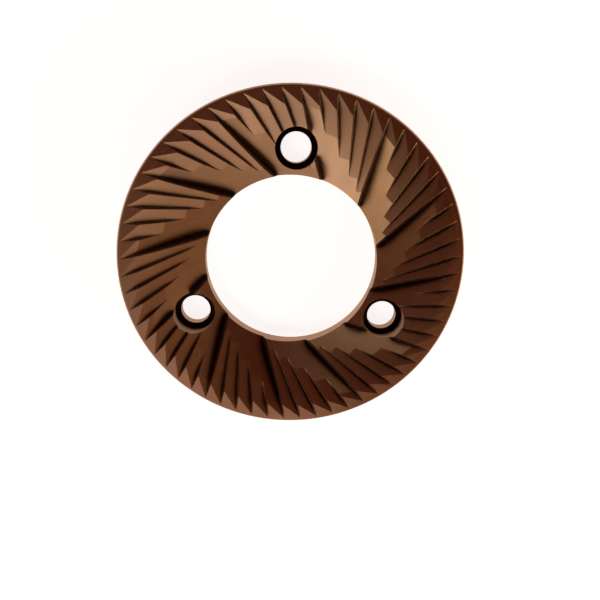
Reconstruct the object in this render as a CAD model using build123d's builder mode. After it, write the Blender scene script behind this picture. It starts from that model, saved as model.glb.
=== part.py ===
"""Flat burr of a coffee grinder: a turned steel ring with ground teeth on its front face.

The ring lies on its flat back with its teeth up. Lengths are in millimetres, angles in degrees.
"""

import os
from math import asin, cos, degrees, radians, sin, sqrt, tan

from build123d import *

# Ring
outer_diameter = 75.0
bore_diameter = 38.0
thickness = 7.5
front_rim_chamfer = 0.3
back_rim_chamfer = 0.4
bore_lead_in = 0.8

# Grooves: each root line passes the ring's axis at this distance
root_line_offset = 11.0

# Cutting teeth: straight grooves that deepen towards the bore
tooth_count = 60
tooth_tip_land = 0.45
tooth_incline = 9.0
tooth_flank_angle = 15.0
tooth_wall_angle = 60.0
tooth_root_radius = 0.3

# Breaker teeth: wide grooves, hollow-ground by the rim of a large wheel
breaker_count = 12
breaker_tip_land = 2.2
breaker_incline = 17.7
breaker_flank_angle = 19.5
breaker_wall_angle = 60.0
breaker_root_radius = 0.4
wheel_radius = 135.0

# Counterbored screw holes, each in line with the tip of a tooth
screw_count = 3
screw_circle_diameter = 49.2
screw_hole_diameter = 6.6
screw_head_diameter = 9.0
screw_seat_thickness = 2.3
first_screw_angle = 90.0

# Cutters start and end this far outside the metal
cutter_clearance = 1.0

outer_radius = outer_diameter / 2
bore_radius = bore_diameter / 2
tooth_tip_radius = outer_radius - tooth_tip_land
breaker_tip_radius = outer_radius - breaker_tip_land


def root_turn(radius):
    """Angle round the axis from where a root line meets this radius to its own heading."""
    return degrees(asin(root_line_offset / radius))


def root_point(radius):
    """Point of the front face on a root line that runs along -X, at this distance from the axis."""
    return Vector(sqrt(radius**2 - root_line_offset**2), -root_line_offset, thickness)


def groove_plane(root, incline):
    """Section plane of a groove: local Y up from the root, and the normal down along the root."""
    heading = (-cos(radians(incline)), 0, -sin(radians(incline)))
    return Plane(origin=root, x_dir=(0, -1, 0), z_dir=heading)


def groove_section(height, flank_angle, wall_angle):
    """Lopsided V with its root at the origin, between a shallow flank and a steep wall."""
    flank_width = height / tan(radians(flank_angle))
    wall_width = height / tan(radians(wall_angle))
    Polygon((0, 0), (flank_width, height), (-wall_width, height), align=None)


def wheel_spoke(angle):
    """Vector from the wheel's axle to its rim, at this angle from straight down."""
    return wheel_radius * Vector(sin(radians(angle)), 0, -cos(radians(angle)))


# Cutter of one cutting tooth, from its tip to the bore
tooth_tip = root_point(tooth_tip_radius)
tooth_length = (tooth_tip.X - root_point(bore_radius).X) / cos(radians(tooth_incline))
tooth_depth = tooth_length * tan(radians(tooth_incline))

with BuildPart() as tooth_cutter:
    with BuildSketch(groove_plane(tooth_tip, tooth_incline).offset(-cutter_clearance)) as tooth_section:
        groove_section(tooth_depth + cutter_clearance, tooth_flank_angle, tooth_wall_angle)
        fillet(tooth_section.vertices().sort_by(Axis.Y)[0], tooth_root_radius)
    extrude(amount=tooth_length + cutter_clearance)

# Rim of the wheel that grinds one breaker tooth, from its tip to where the next one meets the bore
breaker_tip = root_point(breaker_tip_radius)
next_breaker_angle = root_turn(bore_radius) + 360 / breaker_count
breaker_run = breaker_tip.X - bore_radius * cos(radians(next_breaker_angle))
wheel_start = breaker_incline + degrees(cutter_clearance / wheel_radius)
wheel_end = degrees(asin(sin(radians(breaker_incline)) - breaker_run / wheel_radius))
wheel_axle = breaker_tip - wheel_spoke(breaker_incline)
breaker_depth = wheel_radius * (cos(radians(wheel_end)) - cos(radians(breaker_incline)))

with BuildPart() as breaker_wheel:
    with BuildSketch(groove_plane(wheel_axle + wheel_spoke(wheel_start), wheel_start)) as breaker_section:
        groove_section(breaker_depth + cutter_clearance, breaker_flank_angle, breaker_wall_angle)
        fillet(breaker_section.vertices().sort_by(Axis.Y)[0], breaker_root_radius)
    revolve(axis=Axis(wheel_axle, (0, 1, 0)), revolution_arc=wheel_start - wheel_end)

with BuildPart() as grinder_burr:
    # Turned blank
    with BuildSketch():
        Circle(outer_radius)
        Circle(bore_radius, mode=Mode.SUBTRACT)
    extrude(amount=thickness)
    back_edges = grinder_burr.edges().group_by(Axis.Z)[0].sort_by(SortBy.RADIUS)
    front_edges = grinder_burr.edges().group_by(Axis.Z)[-1].sort_by(SortBy.RADIUS)
    chamfer(back_edges[0], bore_lead_in)
    chamfer(back_edges[-1], back_rim_chamfer)
    chamfer(front_edges[-1], front_rim_chamfer)

    # Ground teeth, turned so that one tip lies on the X axis
    for place in PolarLocations(0, breaker_count, start_angle=root_turn(tooth_tip_radius)):
        with Locations(place):
            add(breaker_wheel.part, mode=Mode.SUBTRACT)
    for place in PolarLocations(0, tooth_count, start_angle=root_turn(tooth_tip_radius)):
        with Locations(place):
            add(tooth_cutter.part, mode=Mode.SUBTRACT)

    # Screw holes
    with Locations((0, 0, thickness)):
        with PolarLocations(screw_circle_diameter / 2, screw_count, start_angle=first_screw_angle):
            CounterBoreHole(
                radius=screw_hole_diameter / 2,
                counter_bore_radius=screw_head_diameter / 2,
                counter_bore_depth=thickness - screw_seat_thickness,
            )

grinder_burr.part.label = "grinder_burr"

os.makedirs("parts", exist_ok=True)
export_step(grinder_burr.part, "parts/grinder_burr.step")
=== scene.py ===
"""Flat burr of a coffee grinder, lying on a white floor with its teeth up, under soft studio light."""

from math import cos, pi, radians, sin

import bpy
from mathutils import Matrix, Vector


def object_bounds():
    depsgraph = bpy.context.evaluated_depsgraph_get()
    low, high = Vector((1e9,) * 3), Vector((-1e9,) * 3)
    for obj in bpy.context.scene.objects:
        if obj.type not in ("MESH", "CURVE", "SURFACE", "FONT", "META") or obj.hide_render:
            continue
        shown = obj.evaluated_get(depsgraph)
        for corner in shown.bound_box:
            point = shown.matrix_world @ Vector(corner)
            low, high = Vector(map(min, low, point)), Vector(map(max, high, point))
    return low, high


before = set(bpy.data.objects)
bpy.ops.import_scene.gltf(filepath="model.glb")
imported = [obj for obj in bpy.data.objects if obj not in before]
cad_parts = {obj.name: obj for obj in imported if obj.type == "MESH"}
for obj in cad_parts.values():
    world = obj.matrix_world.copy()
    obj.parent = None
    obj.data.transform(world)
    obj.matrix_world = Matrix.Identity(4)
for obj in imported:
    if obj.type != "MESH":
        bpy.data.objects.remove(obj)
cad_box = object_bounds()
scene = bpy.context.scene
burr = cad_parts["grinder_burr"]

# Each groove's root line passes the axis at this distance, in metres
ROOT_LINE_OFFSET = 0.011

# How far a face points up, from 0 to 1, where one kind of face passes into another
FLAT_FACES = (0.985, 0.995)
STEEP_FACES = (0.85, 0.6)
UPRIGHT_FACES = (0.45, 0.3)

# Coating: its colour where it is thin and where it is full, and the near-black of the painted shade deep in
# a groove
THIN_COAT = (0.38, 0.195, 0.105, 1)
FULL_COAT = (0.5, 0.265, 0.147, 1)
PAINTED_SHADE_COLOUR = (0.02, 0.006, 0.002, 1)
FLANK_ROUGHNESS = (0.23, 0.33)
WALL_ROUGHNESS = 0.5

# Painted shade: a groove is painted dark below the first share of open space about it and clear above the
# second
# The space is looked at as far as this reach, in metres
SHADE_REACH = 0.003
FLANK_OPENNESS = (0.87, 0.95)
WALL_OPENNESS = (0.6, 0.85)

# Cells of noise: in each radian for marks across the grooves, and in each metre for the rest
MARKS_ACROSS = 160.0
MARKS_ALONG = 150.0
TURNING_MARKS = 5000.0
CLOUDS = 90.0
GRAIN = 5000.0

# Relief of the marks, with its depth in metres
MARK_STRENGTH = 0.45
MARK_DEPTH = 0.00001

# Floor: its side in metres, its own glow where it is seen and the paper that takes the shadow
FLOOR_SIZE = 6.0
FLOOR_GLOW = 0.84
PAPER_COLOUR = (0.75, 0.75, 0.75, 1)

# Room: elevations, in degrees, between which its white wall fades into the dim ceiling
WALL_TOP = 11.0
CEILING_START = 16.0
WALL_COLOUR = (1, 1, 1, 1)
CEILING_COLOUR = (0.08, 0.012, 0.002, 1)

# Lamps stand this far from the origin, in metres
LAMP_DISTANCE = 0.5

# Camera: place beside the axis and above the toothed face in metres, turn in degrees, lens in millimetres
CAMERA_X, CAMERA_Y = -0.00466, 0.03529
CAMERA_HEIGHT = 0.13351
CAMERA_TURN = (-17.93, -2.06, 2.57)
SENSOR_WIDTH = 36.0
FOCAL_LENGTH = 38.31
NEAREST_SEEN = 0.001


class Graph:
    """Short calls for the nodes of one material or world."""

    def __init__(self, tree):
        self.tree = tree
        self.tree.nodes.clear()

    def add(self, kind, *inputs, **settings):
        node = self.tree.nodes.new(kind)
        for name, value in settings.items():
            setattr(node, name, value)
        for socket, value in zip(node.inputs, inputs):
            self.feed(socket, value)
        return node

    def feed(self, socket, value):
        if isinstance(value, bpy.types.NodeSocket):
            self.tree.links.new(value, socket)
        elif value is not None:
            socket.default_value = value

    def math(self, operation, *inputs):
        return self.add("ShaderNodeMath", *inputs, operation=operation).outputs[0]

    def vector(self, x, y, z):
        return self.add("ShaderNodeCombineXYZ", x, y, z).outputs[0]

    def noise(self, place, scale, detail=2.0, roughness=0.5):
        node = self.add("ShaderNodeTexNoise")
        self.feed(node.inputs["Vector"], place)
        self.feed(node.inputs["Scale"], scale)
        self.feed(node.inputs["Detail"], detail)
        self.feed(node.inputs["Roughness"], roughness)
        return node.outputs["Fac"]

    def remap(self, value, low, high, to_low=0.0, to_high=1.0):
        return self.add("ShaderNodeMapRange", value, low, high, to_low, to_high, clamp=True).outputs[0]

    def blend(self, share, first, second):
        node = self.add("ShaderNodeMix", data_type="FLOAT")
        self.feed(node.inputs[0], share)
        self.feed(node.inputs[2], first)
        self.feed(node.inputs[3], second)
        return node.outputs[0]

    def blend_colour(self, share, first, second):
        node = self.add("ShaderNodeMix", data_type="RGBA")
        self.feed(node.inputs[0], share)
        self.feed(node.inputs[6], first)
        self.feed(node.inputs[7], second)
        return node.outputs[2]


def coated_steel():
    """Ground tool steel under a thin bronze-brown coating, with painted shade in its grooves."""
    material = bpy.data.materials.new("coated_steel")
    material.use_nodes = True
    g = Graph(material.node_tree)
    place = g.add("ShaderNodeTexCoord").outputs["Object"]
    x, y, z = g.add("ShaderNodeSeparateXYZ", place).outputs
    radius = g.math("SQRT", g.math("ADD", g.math("MULTIPLY", x, x), g.math("MULTIPLY", y, y)))
    angle = g.math("ARCTAN2", y, x)
    slope = g.add("ShaderNodeSeparateXYZ", g.add("ShaderNodeNewGeometry").outputs["True Normal"]).outputs[2]
    level = g.math("ABSOLUTE", slope)

    # Grinding marks run along the grooves, turning marks round the axis
    lean = g.math("ARCSINE", g.math("DIVIDE", ROOT_LINE_OFFSET, radius))
    line = g.math("ADD", angle, lean)
    round_x, round_y = g.math("COSINE", angle), g.math("SINE", angle)
    along = g.vector(g.math("MULTIPLY", g.math("COSINE", line), MARKS_ACROSS),
                     g.math("MULTIPLY", g.math("SINE", line), MARKS_ACROSS),
                     g.math("MULTIPLY", radius, MARKS_ALONG))
    ground = g.noise(along, 1.0, 3.0, 0.6)
    turned = g.noise(g.vector(g.math("MULTIPLY", radius, TURNING_MARKS), round_x, round_y), 1.0, 2.0)
    ringed = g.noise(g.vector(g.math("MULTIPLY", z, TURNING_MARKS), round_x, round_y), 1.0, 2.0)
    flat = g.remap(level, *FLAT_FACES)
    steep = g.remap(level, *STEEP_FACES)
    upright = g.remap(level, *UPRIGHT_FACES)
    marks = g.blend(upright, g.blend(flat, ground, turned), ringed)

    cloud = g.noise(place, CLOUDS, 3.0, 0.55)
    grain = g.noise(place, GRAIN, 2.0, 0.6)
    tone = g.remap(g.math("ADD", g.math("MULTIPLY", cloud, 0.7), g.math("MULTIPLY", marks, 0.3)), 0.3, 0.7)
    coat = g.blend_colour(tone, THIN_COAT, FULL_COAT)

    # Painted shade, dark where the grooves close in: at the root of a flank, and over most of a steep wall
    shade_probe = g.add("ShaderNodeAmbientOcclusion", samples=16, only_local=True)
    g.feed(shade_probe.inputs["Distance"], SHADE_REACH)
    dark_below, clear_above = [g.blend(steep, *pair) for pair in zip(FLANK_OPENNESS, WALL_OPENNESS)]
    clear = g.remap(shade_probe.outputs["AO"], dark_below, clear_above)
    # The colour passes into painted shade where little open space is left about the surface
    colour = g.blend_colour(clear, PAINTED_SHADE_COLOUR, coat)

    # The walls are ground by the wheel's edge and are rougher than the flanks
    smooth = g.math("ADD", g.remap(marks, 0.2, 0.8, *FLANK_ROUGHNESS), g.math("MULTIPLY", grain, 0.06))
    rough = g.blend(steep, smooth, WALL_ROUGHNESS)

    bump = g.add("ShaderNodeBump")
    g.feed(bump.inputs["Strength"], MARK_STRENGTH)
    g.feed(bump.inputs["Distance"], MARK_DEPTH)
    g.feed(bump.inputs["Height"], g.math("ADD", marks, g.math("MULTIPLY", grain, 0.4)))
    shader = g.add("ShaderNodeBsdfPrincipled")
    shader.inputs["Metallic"].default_value = 1.0
    g.feed(shader.inputs["Base Color"], colour)
    g.feed(shader.inputs["Roughness"], rough)
    g.feed(shader.inputs["Normal"], bump.outputs[0])
    g.add("ShaderNodeOutputMaterial", shader.outputs[0])
    return material


def seen_directly(g):
    """1 for rays from the camera, also by way of a reflection, and 0 for light that falls on the object."""
    path = g.add("ShaderNodeLightPath").outputs
    seen = g.math("MAXIMUM", path["Is Camera Ray"], path["Is Glossy Ray"])
    return g.math("MAXIMUM", seen, path["Is Transmission Ray"])


def white_floor():
    """White floor that stays pale in the object's shadow."""
    material = bpy.data.materials.new("white_floor")
    material.use_nodes = True
    g = Graph(material.node_tree)
    glow = g.add("ShaderNodeEmission", (1, 1, 1, 1), g.math("MULTIPLY", seen_directly(g), FLOOR_GLOW))
    paper = g.add("ShaderNodeBsdfDiffuse", PAPER_COLOUR)
    both = g.add("ShaderNodeAddShader", glow.outputs[0], paper.outputs[0])
    g.add("ShaderNodeOutputMaterial", both.outputs[0])
    bpy.ops.mesh.primitive_plane_add(size=FLOOR_SIZE)
    floor = bpy.context.object
    floor.name = "floor"
    floor.data.materials.append(material)


def room():
    """Dim warm room with a white wall all round."""
    world = bpy.data.worlds.new("room")
    world.use_nodes = True
    g = Graph(world.node_tree)
    height = g.add("ShaderNodeSeparateXYZ", g.add("ShaderNodeTexCoord").outputs["Generated"]).outputs[2]
    wall = g.remap(height, sin(radians(CEILING_START)), sin(radians(WALL_TOP)))
    colour = g.blend_colour(wall, CEILING_COLOUR, WALL_COLOUR)
    g.add("ShaderNodeOutputWorld", g.add("ShaderNodeBackground", colour).outputs[0])
    scene.world = world


def panel(name, azimuth, elevation, size, radiance, colour):
    """Soft lamp of even radiance, turned to the burr from where two angles in degrees place it."""
    lamp = bpy.data.lights.new(name, "AREA")
    lamp.shape = "RECTANGLE"
    width, height = size
    lamp.size, lamp.size_y = width, height
    lamp.energy = radiance * pi * width * height
    lamp.color = colour
    turn, rise = radians(azimuth), radians(elevation)
    outward = Vector((cos(rise) * cos(turn), cos(rise) * sin(turn), sin(rise)))
    holder = bpy.data.objects.new(name, lamp)
    holder.location = outward * LAMP_DISTANCE
    holder.rotation_euler = (-outward).to_track_quat("-Z", "Y").to_euler()
    holder.visible_camera = False
    scene.collection.objects.link(holder)


def view_camera():
    """Camera above the burr, as far off its axis as in the photograph."""
    lens = bpy.data.cameras.new("camera")
    lens.sensor_width = SENSOR_WIDTH
    lens.lens = FOCAL_LENGTH
    lens.clip_start = NEAREST_SEEN
    holder = bpy.data.objects.new("camera", lens)
    holder.location = (CAMERA_X, CAMERA_Y, cad_box[1][2] + CAMERA_HEIGHT)
    holder.rotation_euler = [radians(part) for part in CAMERA_TURN]
    scene.collection.objects.link(holder)
    scene.camera = holder


burr.data.materials.clear()
burr.data.materials.append(coated_steel())
white_floor()
room()
panel("key_panel", azimuth=228, elevation=46, size=(0.16, 0.2), radiance=2.3,
      colour=(0.85, 0.96, 1.0))
panel("warm_panel", azimuth=264, elevation=46, size=(0.26, 0.16), radiance=0.86,
      colour=(0.98, 1.0, 0.85))
panel("left_panel", azimuth=207, elevation=46, size=(0.14, 0.2), radiance=0.6,
      colour=(1.0, 0.93, 0.3))
panel("high_panel", azimuth=260, elevation=62, size=(0.2, 0.14), radiance=0.43,
      colour=(1.0, 0.8, 1.0))
panel("side_panel", azimuth=330, elevation=32, size=(0.2, 0.2), radiance=0.5,
      colour=(0.75, 0.9, 1.0))
panel("low_panel", azimuth=330, elevation=14, size=(0.5, 0.16), radiance=4.0,
      colour=(1.0, 0.86, 0.58))
panel("back_panel", azimuth=90, elevation=62, size=(0.16, 0.14), radiance=1.0,
      colour=(0.82, 1.0, 0.95))
panel("right_panel", azimuth=310, elevation=50, size=(0.24, 0.2), radiance=0.2,
      colour=(1.0, 0.75, 0.3))
view_camera()
scene.view_settings.view_transform = "Standard"
